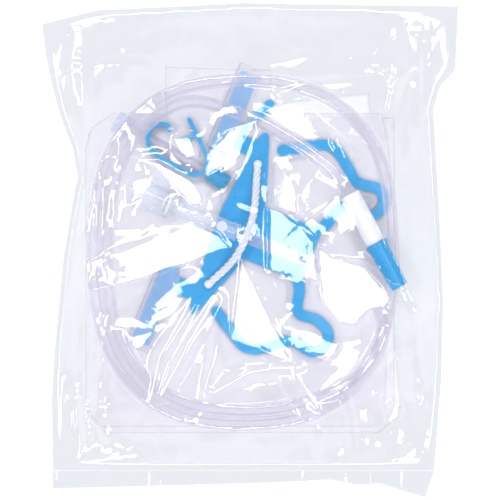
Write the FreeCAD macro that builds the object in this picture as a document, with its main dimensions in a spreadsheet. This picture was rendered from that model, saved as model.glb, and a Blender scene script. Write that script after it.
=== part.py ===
"""A gravity ear-washing set sealed in a clear film pouch, in millimetres.

The pouch lies flat with +Z up and +Y towards its tear-open header. The set inside is a folded
fluid bag, a flat two-hook hanger on a slanting line, an inlet chamber, a coiled clear tube with a
capped nozzle, and a short outlet tube with a pinch clamp and a twist tap.
"""
import FreeCAD, Part
import math
import os

V = FreeCAD.Vector
UP = V(0, 0, 1)
ACROSS = V(0, 1, 0)

doc = FreeCAD.newDocument("ear_washing_set")
sheet = doc.addObject("Spreadsheet::Sheet", "Sizes")

SIZES = {
    # pouch
    "film_thick": 0.3,
    "film_gap": 0.02,
    "pouch_height": 31.8,
    "wall_foot_inset": 3.0,
    "wall_top_inset": 9.0,
    "seal_line_y": -143.0,
    "header_slope_start": 122.0,
    # leaflet and bag
    "leaflet_width": 148.0,
    "leaflet_length": 205.0,
    "leaflet_thick": 0.3,
    "leaflet_base": 0.35,
    "panel_thick": 0.5,
    "back_panel_base": 0.7,
    "front_panel_base": 1.25,
    "flap_thick": 0.3,
    "flap_base": 5.3,
    # hanger
    "hanger_base": 2.2,
    "hanger_thick": 3.0,
    "hook_strip_width": 7.0,
    "cord_hole_radius": 2.55,
    # inlet line
    "inlet_axis_height": 11.3,
    "chamber_radius": 9.0,
    "chamber_length": 24.0,
    "chamber_wall": 1.2,
    "connector_radius": 5.0,
    "tee_radius": 5.2,
    "tee_rib_radius": 5.9,
    "flap_pin_radius": 0.6,
    "running_clearance": 0.05,
    # tubes
    "tube_diameter": 8.5,
    "coil_base": 6.2,
    "coil_tilt": 1.555,
    "rope_diameter": 5.0,
    # nozzle
    "nozzle_axis_height": 23.4,
    "sleeve_radius": 6.5,
    "sleeve_length": 34.0,
    "nozzle_length": 18.0,
    "cap_length": 32.0,
    "cap_mouth_radius": 7.6,
    "cap_tip_radius": 5.5,
    "cap_wall": 1.3,
    # clamp, outlet and tap
    "clamp_base": 1.9,
    "clamp_depth": 10.8,
    "clamp_strip": 2.6,
    "clamp_pin_radius": 1.2,
    "lever_depth": 4.8,
    "lever_length": 28.0,
    "lever_open_angle": 34.0,
    "outlet_axis_height": 7.3,
    "tap_radius": 5.4,
    "tap_length": 11.0,
}

for row, (alias, value) in enumerate(SIZES.items(), start=1):
    sheet.set(f"A{row}", alias)
    sheet.set(f"B{row}", str(value))
    sheet.setAlias(f"B{row}", alias)
doc.recompute()


def size(alias):
    """A driving size, read from the sheet."""
    return float(sheet.get(alias))


# ---------------------------------------------------------------- places and directions

# The hanger's own frame: u runs from the bag bar to the hooks, w across, on a slant in the pouch.
HANGER_ANGLE = -22.3
HANGER_CENTRE = V(-2.6, 13.3, 0)
HANGER_TURN = FreeCAD.Rotation(UP, HANGER_ANGLE)
HANGER_U = HANGER_TURN.multVec(V(1, 0, 0))
HANGER_W = HANGER_TURN.multVec(V(0, 1, 0))
INLET_OFFSET = -4.0

# The clamp's frame: along the outlet tube, and across it.
CLAMP_ANGLE = -29.4
CLAMP_CENTRE = V(-48.0, 61.6, 0)
CLAMP_TURN = FreeCAD.Rotation(UP, CLAMP_ANGLE)
OUTLET_DIRECTION = CLAMP_TURN.multVec(V(1, 0, 0))

# The nozzle's line: from the tube's end through the sleeve, nozzle and cap.
NOZZLE_ANGLE = -61.6
SLEEVE_START = V(64.2, 35.8, size("nozzle_axis_height"))
NOZZLE_DIRECTION = FreeCAD.Rotation(UP, NOZZLE_ANGLE).multVec(V(1, 0, 0))

# The coil's middle, and its half width and half height outside and inside.
COIL_CENTRE = V(-3.9, -1.6, 0)
COIL_OUTSIDE = (103.0, 117.0, 2.5)
COIL_INSIDE = (90.25, 100.0, 3.0)
COIL_INSIDE_SHIFT = 4.25


def hanger_point(u, w, z=0.0):
    """A point given in the hanger's frame."""
    return HANGER_CENTRE + HANGER_U * u + HANGER_W * w + V(0, 0, z)


def clamp_point(along, across, z=0.0):
    """A point given in the clamp's frame."""
    return CLAMP_CENTRE + CLAMP_TURN.multVec(V(along, across, z))


def nozzle_point(along):
    return SLEEVE_START + NOZZLE_DIRECTION * along


def inlet_point(u):
    return hanger_point(u, INLET_OFFSET, size("inlet_axis_height"))


def outlet_point(along):
    return clamp_point(along, 0, size("outlet_axis_height"))


# ---------------------------------------------------------------- helpers

subparts = {}


def keep(name, feature):
    """Name a finished sub-part, so that it is checked and written."""
    feature.Label = name
    subparts[name] = feature
    return feature


def place(feature, position, rotation=None):
    feature.Placement = FreeCAD.Placement(position, rotation or FreeCAD.Rotation())
    return feature


def origin_plane(body, role):
    return next(item for item in body.Origin.OriginFeatures if item.Role == role)


def flat_sketch(body, name):
    sketch = body.newObject("Sketcher::SketchObject", name)
    sketch.AttachmentSupport = [(origin_plane(body, "XY_Plane"), "")]
    sketch.MapMode = "FlatFace"
    return sketch


def add_polygon(sketch, points):
    for start, end in zip(points, points[1:] + points[:1]):
        sketch.addGeometry(Part.LineSegment(V(*start, 0), V(*end, 0)), False)


def sheet_body(name, points, thickness, base):
    """A flat sheet: an outline padded upwards by a size from the spreadsheet."""
    body = doc.addObject("PartDesign::Body", name + "_body")
    sketch = flat_sketch(body, name + "_outline")
    add_polygon(sketch, points)
    pad = body.newObject("PartDesign::Pad", name + "_pad")
    pad.Profile = sketch
    pad.setExpression("Length", f"Sizes.{thickness}")
    doc.recompute()
    body.setExpression("Placement.Base.z", f"Sizes.{base}" if base else "0")
    return body


def cylinder(name, radius, length, position, direction=UP):
    """A cylinder whose sizes are expressions, from a point along a direction."""
    feature = doc.addObject("Part::Cylinder", name)
    feature.setExpression("Radius", radius)
    feature.setExpression("Height", length)
    return place(feature, position, FreeCAD.Rotation(UP, direction))


def cone(name, start_radius, end_radius, length, position, direction=UP):
    feature = doc.addObject("Part::Cone", name)
    feature.setExpression("Radius1", start_radius)
    feature.setExpression("Radius2", end_radius)
    feature.setExpression("Height", length)
    return place(feature, position, FreeCAD.Rotation(UP, direction))


def ball(name, radius, position):
    feature = doc.addObject("Part::Sphere", name)
    feature.setExpression("Radius", radius)
    return place(feature, position)


def cut(name, base, tool):
    feature = doc.addObject("Part::Cut", name)
    feature.Base = base
    feature.Tool = tool
    return feature


def fuse(name, *shapes):
    feature = doc.addObject("Part::MultiFuse", name)
    feature.Shapes = list(shapes)
    feature.Refine = True
    return feature


def solid_feature(name, shape):
    feature = doc.addObject("Part::Feature", name)
    feature.Shape = shape
    feature.Placement = FreeCAD.Placement()
    return feature


def rounded_wire(points, label=None):
    """Straight runs joined by tangent arcs as large as the runs beside them allow."""
    edges = []
    radii = []
    start = points[0]
    for before, corner, after in zip(points, points[1:], points[2:]):
        inward = (before - corner).normalize()
        outward = (after - corner).normalize()
        turn = math.pi - inward.getAngle(outward)
        reach = 0.45 * min((before - corner).Length, (after - corner).Length)
        radii.append(reach / math.tan(turn / 2))
        first = corner + inward * reach
        last = corner + outward * reach
        towards = (inward + outward).normalize()
        middle = corner + towards * (radii[-1] / math.cos(turn / 2) - radii[-1])
        edges.append(Part.LineSegment(start, first).toShape())
        edges.append(Part.Arc(first, middle, last).toShape())
        start = last
    edges.append(Part.LineSegment(start, points[-1]).toShape())
    if label:
        print(label, "arc radii, mm:", [round(radius, 1) for radius in radii])
    return Part.Wire(edges)


def tube_shape(points, diameter, label):
    """A solid round tube or rope along a route, with its length and volume printed."""
    wire = rounded_wire(points, label)
    direction = (points[1] - points[0]).normalize()
    rim = Part.Wire([Part.makeCircle(diameter / 2, points[0], direction)])
    shape = wire.makePipeShell([rim], True, False)
    expected = math.pi * diameter ** 2 / 4 * wire.Length
    print(label, "length, mm:", round(wire.Length, 1), "volume against section x length:",
          round(shape.Volume / expected, 4))
    return shape


def superellipse(half_width, half_height, power, centre):
    """A closed smooth curve between an ellipse and a rectangle."""
    count = 48
    points = []
    for step in range(count):
        angle = 2 * math.pi * step / count
        cosine = math.cos(angle)
        sine = math.sin(angle)
        x = half_width * math.copysign(abs(cosine) ** (2 / power), cosine)
        y = half_height * math.copysign(abs(sine) ** (2 / power), sine)
        points.append(centre + V(x, y, 0))
    curve = Part.BSplineCurve()
    curve.interpolate(points, PeriodicFlag=True)
    return Part.Wire([curve.toShape()])


def inset(points, distance):
    """The outline moved inwards by a distance, corner for corner. It runs anticlockwise."""
    moved = []
    count = len(points)
    for index in range(count):
        before = V(*points[index - 1], 0)
        here = V(*points[index], 0)
        after = V(*points[(index + 1) % count], 0)
        first = UP.cross(here - before).normalize()
        second = UP.cross(after - here).normalize()
        step = (first + second) * (distance / (1 + first.dot(second)))
        moved.append((here.x + step.x, here.y + step.y))
    return moved


# ---------------------------------------------------------------- pouch

# The pouch's edge, anticlockwise from the left end of the seal line.
FOOT_EDGE = [(-128.1, -155.0), (-32.5, -152.4), (13.0, -151.1), (52.0, -149.2), (68.3, -152.4),
             (84.5, -151.8), (97.5, -155.7), (113.8, -160.5)]
RIGHT_EDGE = [(124.2, -84.2), (125.5, -32.2), (123.5, 13.3), (120.9, 58.8), (119.0, 91.3),
              (123.5, 106.3), (133.3, 117.3)]
TOP_EDGE = [(135.2, 158.3), (32.5, 159.6), (-3.3, 160.5), (-32.5, 158.9), (-99.5, 155.7),
            (-135.2, 146.6)]
LEFT_EDGE = [(-132.6, 127.0), (-128.7, 107.6), (-123.5, 88.1), (-115.0, 65.3), (-111.8, 47.1),
             (-113.8, 39.3), (-120.9, -2.9), (-126.8, -64.7), (-128.7, -97.2)]
SEAL_LEFT_X = -128.1
SEAL_RIGHT_X = 119.6
HEADER_SQUEEZE = 0.15


def pouch_lower_film():
    outline = FOOT_EDGE + [(SEAL_RIGHT_X, size("seal_line_y"))] + RIGHT_EDGE + TOP_EDGE + LEFT_EDGE
    return keep("pouch_lower_film", sheet_body("lower_film", outline, "film_thick", None))


def pouch_bottom_seal():
    line = size("seal_line_y") - 0.5
    outline = FOOT_EDGE + [(SEAL_RIGHT_X, line), (SEAL_LEFT_X, line)]
    body = sheet_body("bottom_seal", outline, "film_thick", "film_thick")
    return keep("pouch_bottom_seal", body)


def dome(outline, foot, top, foot_inset, top_inset):
    """A solid with sloping sides between two inset copies of an outline, drawn in at the header."""
    header = size("header_slope_start")
    low = [V(x, y, foot) for x, y in inset(outline, foot_inset)]
    high = [V(x, y if y < header else header + (y - header) * HEADER_SQUEEZE, top)
            for x, y in inset(outline, top_inset)]
    rings = [Part.makePolygon(ring + ring[:1]) for ring in (low, high)]
    return Part.makeLoft(rings, True, True)


def pouch_upper_film():
    """The film over the contents: a flat margin, steep sides and a nearly level top."""
    thick = size("film_thick")
    line = size("seal_line_y")
    foot = thick + size("film_gap")
    outline = [(SEAL_LEFT_X, line), (SEAL_RIGHT_X, line)] + RIGHT_EDGE + TOP_EDGE + LEFT_EDGE
    edge = [V(x, y, foot) for x, y in outline]
    margin = Part.Face(Part.makePolygon(edge + edge[:1])).extrude(V(0, 0, thick))
    foot_inset = size("wall_foot_inset")
    top_inset = size("wall_top_inset")
    top = size("pouch_height")
    outer = dome(outline, foot + thick, top, foot_inset, top_inset)
    inner = dome(outline, foot + thick, top - thick, foot_inset + thick, top_inset + thick)
    well = [V(x, y, foot) for x, y in inset(outline, foot_inset + thick)]
    opening = Part.Face(Part.makePolygon(well + well[:1])).extrude(V(0, 0, thick))
    shape = margin.fuse(outer).cut(inner.fuse(opening)).removeSplitter()
    return keep("pouch_upper_film", solid_feature("upper_film", shape.Solids[0]))


# ---------------------------------------------------------------- leaflet and bag

BACK_PANEL = [(-105.0, -108.0), (-94.0, -119.0), (84.0, -119.0), (94.0, -110.0), (94.0, 86.0),
              (14.0, 86.0), (14.0, 117.0), (-55.0, 119.0), (-55.0, 86.0), (-94.0, 86.0),
              (-105.0, 76.0)]
FRONT_PANEL = [(-107.0, -104.0), (-96.0, -115.0), (80.0, -115.0), (88.0, -107.0), (92.0, 40.0),
               (90.0, 70.0), (86.0, 89.0), (-89.0, 89.0), (-103.0, 80.0), (-107.0, 66.0)]
LEAFLET_CENTRE = V(14.0, -8.0, 0)
LEAFLET_TURN = 6.0


def leaflet():
    feature = doc.addObject("Part::Box", "leaflet_box")
    feature.setExpression("Length", "Sizes.leaflet_width")
    feature.setExpression("Width", "Sizes.leaflet_length")
    feature.setExpression("Height", "Sizes.leaflet_thick")
    turn = FreeCAD.Rotation(UP, LEAFLET_TURN)
    corner = V(-size("leaflet_width") / 2, -size("leaflet_length") / 2, 0)
    base = V(0, 0, size("leaflet_base"))
    return keep("leaflet", place(feature, LEAFLET_CENTRE + turn.multVec(corner) + base, turn))


def bag_panels():
    """The two welded halves of the folded bag."""
    keep("bag_back_panel", sheet_body("back_panel", BACK_PANEL, "panel_thick", "back_panel_base"))
    keep("bag_front_panel", sheet_body("front_panel", FRONT_PANEL, "panel_thick", "front_panel_base"))


def bag_flaps():
    """Two tongues of the bag's top weld, folded over the hanger's bag bar."""
    for name, near, far in (("bag_flap_upper", 41.0, 99.0), ("bag_flap_lower", -99.0, -30.0)):
        outline = [(-44.0, near), (-27.0, near), (-27.0, far), (-44.0, far)]
        body = sheet_body(name, outline, "flap_thick", "flap_base")
        turned_base = HANGER_CENTRE + V(0, 0, size("flap_base"))
        place(body, turned_base, HANGER_TURN)
        keep(name, body)


# ---------------------------------------------------------------- hanger

HOOK_LINE = [(40.0, 15.0), (47.0, 21.5), (50.5, 39.0), (64.0, 36.0), (75.0, 41.0), (77.5, 49.0),
             (71.0, 58.0), (62.0, 56.0), (54.0, 55.0), (43.0, 65.0), (30.0, 72.5), (15.0, 64.0),
             (2.5, 56.5)]
WING_OUTLINE = [(-19.5, 0.0), (-19.5, 9.0), (-14.6, 60.0), (-11.0, 64.0), (-8.0, 59.0),
                (6.5, 18.0), (6.5, 0.0)]
LINK_LINE = [(-30.0, 50.0), (-24.0, 64.0), (-16.5, 81.0)]
LINK_WIDTH = 6.0
PLATE_LENGTH = 46.0
PLATE_HALF_WIDTH = 18.0
BAR_MIDDLE = -36.0
BAR_HALF_WIDTH = 6.0
BAR_INNER_END = 40.0
BAR_OUTER_END = 94.0
RIB_START = 45.0
RIB_WIDTH = 11.0
RIB_REACH = -12.0
CORD_HOLE = (-9.0, 42.0)


def strip(line, width, thick):
    """A flat strip of one width along a line, with rounded ends."""
    wire = rounded_wire([V(x, y, 0) for x, y in line])
    outline = wire.makeOffset2D(width / 2, 0, False, False, True)
    return Part.Face(outline).extrude(V(0, 0, thick))


def slab(points, thick):
    corners = [V(x, y, 0) for x, y in points]
    return Part.Face(Part.makePolygon(corners + corners[:1])).extrude(V(0, 0, thick))


def hanger_half(thick):
    """One side of the hanger: hook, wing and half of the bag bar, which a rib joins to the wing."""
    hook = strip(HOOK_LINE, size("hook_strip_width"), thick)
    wing = slab(WING_OUTLINE, thick)
    bar = Part.makeBox(2 * BAR_HALF_WIDTH, BAR_OUTER_END - BAR_INNER_END, thick,
                       V(BAR_MIDDLE - BAR_HALF_WIDTH, BAR_INNER_END, 0))
    rib = Part.makeBox(RIB_REACH - BAR_MIDDLE, RIB_WIDTH, thick, V(BAR_MIDDLE, RIB_START, 0))
    hole = Part.makeCylinder(size("cord_hole_radius"), thick, V(*CORD_HOLE, 0))
    return hook.fuse([wing, bar, rib]).cut(hole)


def hanger():
    """One flat moulding. Both sides are the same, but for a short arm beside the upper bag bar."""
    thick = size("hanger_thick")
    half = hanger_half(thick)
    other = half.mirror(V(0, 0, 0), V(0, 1, 0))
    plate = Part.makeBox(PLATE_LENGTH, 2 * PLATE_HALF_WIDTH, thick, V(0, -PLATE_HALF_WIDTH, 0))
    link = strip(LINK_LINE, LINK_WIDTH, thick)
    shape = plate.fuse([half, other, link]).removeSplitter()
    if len(shape.Solids) != 1:
        raise RuntimeError("the hanger is in %d pieces" % len(shape.Solids))
    feature = doc.addObject("Part::Feature", "hanger_moulding")
    feature.Shape = shape.Solids[0]
    place(feature, HANGER_CENTRE + V(0, 0, size("hanger_base")), HANGER_TURN)
    return keep("hanger", feature)


# ---------------------------------------------------------------- hanger cord

CORD_ROUTE = [(-9.0, 42.0, 8.1), (-6.0, 32.5, 9.0), (-2.5, 23.0, 13.0), (0.5, 13.0, 18.5),
              (2.0, 3.0, 21.5), (2.0, -10.0, 21.5), (0.5, -20.0, 18.0), (-2.5, -28.5, 12.5),
              (-6.0, -35.5, 9.2), (-9.0, -42.0, 8.1)]
CORD_ANCHOR_HEIGHT = 8.1


def cord_anchor(name, side):
    """The cord's melted end: a plug in the wing's hole under a round bead."""
    u, w = CORD_HOLE
    foot = hanger_point(u, w * side, size("hanger_base") + 0.1)
    plug = cylinder(name + "_plug", "Sizes.cord_hole_radius - 0.05", "Sizes.hanger_thick + 1", foot)
    bead = ball(name + "_bead", "Sizes.rope_diameter / 2 + 0.35",
                hanger_point(u, w * side, CORD_ANCHOR_HEIGHT + 0.1))
    return keep(name, fuse(name + "_whole", plug, bead))


def hanger_cord(anchors):
    route = [hanger_point(*point) for point in CORD_ROUTE]
    rope = tube_shape(route, size("rope_diameter"), "hanger_cord")
    for anchor in anchors:
        rope = rope.cut(anchor.Shape)
    return keep("hanger_cord", solid_feature("hanger_cord_rope", rope.Solids[0]))


# ---------------------------------------------------------------- inlet chamber

CHAMBER_START = -74.0
FLAP_PLANE = -55.5
PIN_RISE = 6.4


def inlet_cylinder(name, radius, start, end):
    return cylinder(name, radius, str(abs(end - start)), inlet_point(start), HANGER_U)


def chamber_body():
    """A clear cup with an outlet spout at its closed end."""
    outer = cylinder("chamber_outer", "Sizes.chamber_radius", "Sizes.chamber_length",
                     inlet_point(CHAMBER_START), HANGER_U)
    hollow = cylinder("chamber_hollow", "Sizes.chamber_radius - Sizes.chamber_wall",
                      "Sizes.chamber_length", inlet_point(CHAMBER_START + 1.2), HANGER_U)
    spout = inlet_cylinder("chamber_spout", "3.4", CHAMBER_START - 6, CHAMBER_START + 0.5)
    way_out = inlet_cylinder("chamber_way_out", "2.2", CHAMBER_START - 6, CHAMBER_START + 2)
    walls = cut("chamber_walls", outer, hollow)
    joined = fuse("chamber_joined", walls, spout)
    return keep("chamber_body", cut("chamber_whole", joined, way_out))


def chamber_cap():
    """The lid with its inlet neck, and a step that enters the cup."""
    lid = inlet_cylinder("cap_lid", "Sizes.chamber_radius + 0.4", -50.0, -47.5)
    step = inlet_cylinder("cap_step", "Sizes.chamber_radius - Sizes.chamber_wall", -51.4, -50.0)
    neck = inlet_cylinder("cap_neck", "3.9", -47.5, -42.0)
    bore = inlet_cylinder("cap_bore", "2.6", -52.0, -42.0)
    whole = fuse("chamber_cap_solid", lid, step, neck)
    return keep("chamber_cap", cut("chamber_cap_whole", whole, bore))


def valve_seat():
    ring = inlet_cylinder("seat_ring", "Sizes.chamber_radius - Sizes.chamber_wall", -53.4, -51.4)
    bore = inlet_cylinder("seat_bore", "4.4", -54.0, -51.0)
    return keep("valve_seat", cut("seat_whole", ring, bore))


def pin_line(name, radius, length):
    """A rod across the chamber, near its top, that the valve flap hangs from."""
    middle = inlet_point(FLAP_PLANE) + V(0, 0, PIN_RISE)
    start = middle - HANGER_W * (length / 2)
    return cylinder(name, radius, str(length), start, HANGER_W)


def valve_flap():
    """A disc that hangs in front of the seat and swings away as fluid comes in."""
    disc = cylinder("flap_disc", "5.6", "0.8", inlet_point(FLAP_PLANE - 0.4), HANGER_U)
    hub = pin_line("flap_hub", "1.1", 4.6)
    bore = pin_line("flap_bore", "Sizes.flap_pin_radius + Sizes.running_clearance", 12.0)
    keep("valve_flap", cut("flap_whole", fuse("flap_solid", disc, hub), bore))
    keep("valve_pin", pin_line("flap_pin", "Sizes.flap_pin_radius", 7.6))


def inlet_connector():
    tube = inlet_cylinder("connector_tube", "Sizes.connector_radius", -46.9, -26.0)
    bore = inlet_cylinder("connector_bore", "3.92", -47.0, -25.0)
    return keep("inlet_connector", cut("connector_whole", tube, bore))


def inlet_tee():
    """The ribbed tee that joins the tube, with a sampling neck on top."""
    barrel = inlet_cylinder("tee_barrel", "Sizes.tee_radius", -25.9, -4.0)
    ribs = [inlet_cylinder(f"tee_rib_{index}", "Sizes.tee_rib_radius", start, start + 1.4)
            for index, start in enumerate((-25.9, -21.5, -8.5, -5.4))]
    neck = cylinder("tee_neck", "3.8", "8.5", inlet_point(-15.0))
    bore = inlet_cylinder("tee_bore", "2.4", -26.0, -6.0)
    return keep("inlet_tee", cut("tee_whole", fuse("tee_solid", barrel, neck, *ribs), bore))


def port_septum():
    top = inlet_point(-15.0) + V(0, 0, 8.55)
    return keep("port_septum", cylinder("septum_disc", "3.4", "1.4", top))


# ---------------------------------------------------------------- tube

LEAD_IN_ROUTE = [(12.1, 2.4, 11.3), (32.5, -5.0, 11.0), (51.0, -13.8, 10.8), (67.0, -21.2, 10.6),
                 (78.3, -30.0, 10.7), (85.1, -41.7, 10.9), (88.0, -54.5, 11.0)]
LEAD_OUT_ROUTE = [(-38.0, 97.5, 16.1), (-15.0, 91.5, 16.2), (8.0, 82.0, 17.0), (31.0, 68.5, 18.6),
                  (47.5, 56.5, 21.4), (58.0, 47.6, 23.1)]


def tube_coil():
    """The closed outer shape of the coiled tube, two tubes wide except at the right.

    It is tilted, so that it clears the clamp at its upper left and the cap at its right.
    """
    outside = superellipse(*COIL_OUTSIDE, V(0, 0, 0))
    inside = superellipse(*COIL_INSIDE, V(COIL_INSIDE_SHIFT, 0, 0))
    band = Part.Face([outside, inside])
    if not band.isValid() or band.Area < 0:
        band = Part.Face(outside).cut(Part.Face(inside))
    tilt = FreeCAD.Rotation(V(1, 1, 0), size("coil_tilt"))
    half_rise = math.tan(math.radians(size("coil_tilt"))) * 110.0
    feature = doc.addObject("Part::Feature", "coil_band")
    feature.Shape = band.extrude(V(0, 0, size("tube_diameter")))
    place(feature, COIL_CENTRE + V(0, 0, size("coil_base") + half_rise), tilt)
    return keep("tube_coil", feature)


def free_tube(name, route, coil):
    """A stretch of tube that ends against the coil."""
    shape = tube_shape(route, size("tube_diameter"), name).cut(coil.Shape)
    largest = max(shape.Solids, key=lambda solid: solid.Volume)
    return keep(name, solid_feature(name + "_solid", largest))


def main_tube(coil):
    lead_in = [inlet_point(-4.0)] + [V(*point) for point in LEAD_IN_ROUTE]
    free_tube("tube_lead_in", lead_in, coil)
    lead_out = [V(*point) for point in LEAD_OUT_ROUTE] + [SLEEVE_START]
    free_tube("tube_lead_out", lead_out, coil)


# ---------------------------------------------------------------- sleeve, nozzle and cap

FLANGE_THICK = 1.5


def tube_sleeve():
    outer = cylinder("sleeve_outer", "Sizes.sleeve_radius", "Sizes.sleeve_length",
                     nozzle_point(0), NOZZLE_DIRECTION)
    bore = cylinder("sleeve_bore", "3.0", "Sizes.sleeve_length + 2", nozzle_point(0.5),
                    NOZZLE_DIRECTION)
    return keep("tube_sleeve", cut("sleeve_whole", outer, bore))


def nozzle():
    """A stepped cone behind a round flange, with a fine bore."""
    start = size("sleeve_length")
    flange = cylinder("nozzle_flange", "5.9", str(FLANGE_THICK), nozzle_point(start), NOZZLE_DIRECTION)
    step_length = size("nozzle_length") / 3
    steps = []
    for index, radius in enumerate((4.8, 4.1, 3.4)):
        foot = nozzle_point(start + FLANGE_THICK + index * step_length)
        steps.append(cone(f"nozzle_step_{index}", str(radius), str(radius - 0.9),
                          "Sizes.nozzle_length / 3", foot, NOZZLE_DIRECTION))
    bore = cylinder("nozzle_bore", "1.4", "Sizes.nozzle_length + 4", nozzle_point(start - 1),
                    NOZZLE_DIRECTION)
    return keep("nozzle", cut("nozzle_whole", fuse("nozzle_solid", flange, *steps), bore))


def nozzle_cap():
    """A tapered cap with a rounded grip band round its mouth."""
    start = size("sleeve_length") + FLANGE_THICK + 0.3
    mouth = nozzle_point(start)
    outer = cone("cap_outer", "Sizes.cap_mouth_radius - 0.5", "Sizes.cap_tip_radius",
                 "Sizes.cap_length", mouth, NOZZLE_DIRECTION)
    band = cylinder("cap_band", "Sizes.cap_mouth_radius", "3", mouth, NOZZLE_DIRECTION)
    hollow = cone("cap_hollow", "Sizes.cap_mouth_radius - 0.5 - Sizes.cap_wall",
                  "Sizes.cap_tip_radius - Sizes.cap_wall", "Sizes.cap_length - Sizes.cap_wall",
                  mouth, NOZZLE_DIRECTION)
    return keep("nozzle_cap", cut("cap_whole", fuse("cap_solid", outer, band), hollow))


# ---------------------------------------------------------------- clamp

CLAMP_LINE = [(19.5, 8.5), (21.8, 0.0), (17.5, -6.0), (5.0, -6.9), (-8.0, -6.8), (-18.5, -4.0),
              (-23.0, 4.0), (-20.5, 12.0), (-14.0, 14.5), (-11.8, 12.0)]
CLAMP_HINGE = (19.5, 8.5)
KNUCKLE_RADIUS = 2.7
JAW_DISTANCE = 17.5
JAW_HEIGHT = 11.0


def clamp_rod(radius, length, base):
    return Part.makeCylinder(radius, length, V(*CLAMP_HINGE, base))


def clamp_body():
    """A springy open loop with holes for the tube, a jaw, and two hinge knuckles."""
    depth = size("clamp_depth")
    loop = strip(CLAMP_LINE, size("clamp_strip"), depth)
    jaw = Part.makeBox(3.0, 1.4, depth, V(-0.5, -5.9, 0))
    knuckle = clamp_rod(KNUCKLE_RADIUS, depth, 0)
    axis_height = size("outlet_axis_height") - size("clamp_base")
    hole = Part.makeCylinder(size("tube_diameter") / 2 + 0.05, 60.0, V(-30, 0, axis_height), V(1, 0, 0))
    gap = size("lever_depth") + 0.2
    slot = clamp_rod(KNUCKLE_RADIUS + 0.6, gap, (depth - gap) / 2)
    shape = loop.fuse([jaw, knuckle]).cut([hole, slot, clamp_rod(size("clamp_pin_radius"), depth, 0)])
    feature = doc.addObject("Part::Feature", "clamp_loop")
    feature.Shape = shape.removeSplitter().Solids[0]
    place(feature, CLAMP_CENTRE + V(0, 0, size("clamp_base")), CLAMP_TURN)
    return keep("clamp_body", feature)


def clamp_lever():
    """The lever stands open. Its jaw comes down across the tube as it closes."""
    depth = size("lever_depth")
    thick = size("clamp_strip")
    arm = Part.makeBox(size("lever_length"), thick, depth, V(0, -thick / 2, 0))
    tip = Part.makeCylinder(thick / 2, depth, V(size("lever_length"), 0, 0))
    jaw = Part.makeBox(2.4, JAW_HEIGHT, depth, V(JAW_DISTANCE - 1.2, 0, 0))
    knuckle = Part.makeCylinder(KNUCKLE_RADIUS, depth)
    bore = Part.makeCylinder(size("clamp_pin_radius") + size("running_clearance"), depth)
    shape = arm.fuse([tip, jaw, knuckle]).cut(bore).removeSplitter()
    feature = doc.addObject("Part::Feature", "lever_arm")
    feature.Shape = shape.Solids[0]
    rise = size("clamp_base") + (size("clamp_depth") - depth) / 2
    turn = CLAMP_TURN.multiply(FreeCAD.Rotation(UP, 180.0 - size("lever_open_angle")))
    place(feature, clamp_point(*CLAMP_HINGE, rise), turn)
    return keep("clamp_lever", feature)


def clamp_pin():
    foot = clamp_point(*CLAMP_HINGE, size("clamp_base"))
    return keep("clamp_pin", cylinder("hinge_pin", "Sizes.clamp_pin_radius", "Sizes.clamp_depth", foot))


# ---------------------------------------------------------------- outlet and tap

PORT_START = -45.0
OUTLET_START = -32.0
PINCH_START = -8.0
PINCH_END = 8.0
OUTLET_END = 24.0


def outlet_port():
    """A port welded to the bag's front, the outlet tube's socket."""
    foot_height = size("front_panel_base") + size("panel_thick") + 0.05
    barrel = cylinder("port_barrel", "4.6", str(OUTLET_START - PORT_START), outlet_point(PORT_START),
                      OUTLET_DIRECTION)
    bore = cylinder("port_bore", "2.8", str(OUTLET_START - PORT_START), outlet_point(PORT_START + 2),
                    OUTLET_DIRECTION)
    base = doc.addObject("Part::Box", "port_base")
    base.Length = OUTLET_START - PORT_START
    base.Width = 15.0
    base.Height = 1.2
    place(base, clamp_point(PORT_START, -7.5, foot_height), CLAMP_TURN)
    return keep("outlet_port", cut("port_whole", fuse("port_solid", barrel, base), bore))


def outlet_tube():
    """The short outlet tube, in three stretches, the middle one under the clamp's jaw."""
    stretches = (("outlet_tube", OUTLET_START, PINCH_START), ("outlet_tube_pinched", PINCH_START, PINCH_END),
                 ("outlet_tube_end", PINCH_END, OUTLET_END))
    for name, start, end in stretches:
        keep(name, cylinder(name + "_solid", "Sizes.tube_diameter / 2", str(end - start),
                            outlet_point(start), OUTLET_DIRECTION))


def tap():
    """A collar on the tube's end and a fluted knob that twists on it."""
    collar = cylinder("collar_solid", "4.9", "3.4", outlet_point(OUTLET_END), OUTLET_DIRECTION)
    keep("tap_collar", collar)
    start = OUTLET_END + 3.5
    knob = cylinder("knob_solid", "Sizes.tap_radius", "Sizes.tap_length", outlet_point(start),
                    OUTLET_DIRECTION)
    flutes = []
    count = 12
    for index in range(count):
        around = FreeCAD.Rotation(OUTLET_DIRECTION, 360.0 * index / count)
        offset = around.multVec(UP) * (size("tap_radius") + 0.35)
        flutes.append(cylinder(f"knob_flute_{index}", "0.8", "Sizes.tap_length - 2",
                               outlet_point(start + 2) + offset, OUTLET_DIRECTION))
    slot = doc.addObject("Part::Box", "knob_slot")
    slot.Length = 2.6
    slot.Width = 1.8
    slot.Height = 14.0
    place(slot, outlet_point(start + size("tap_length") - 2.6)
          + CLAMP_TURN.multVec(V(0, -0.9, -7.0)), CLAMP_TURN)
    keep("tap_knob", cut("knob_whole", knob, fuse("knob_cuts", slot, *flutes)))


# ---------------------------------------------------------------- build, check and write

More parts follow.
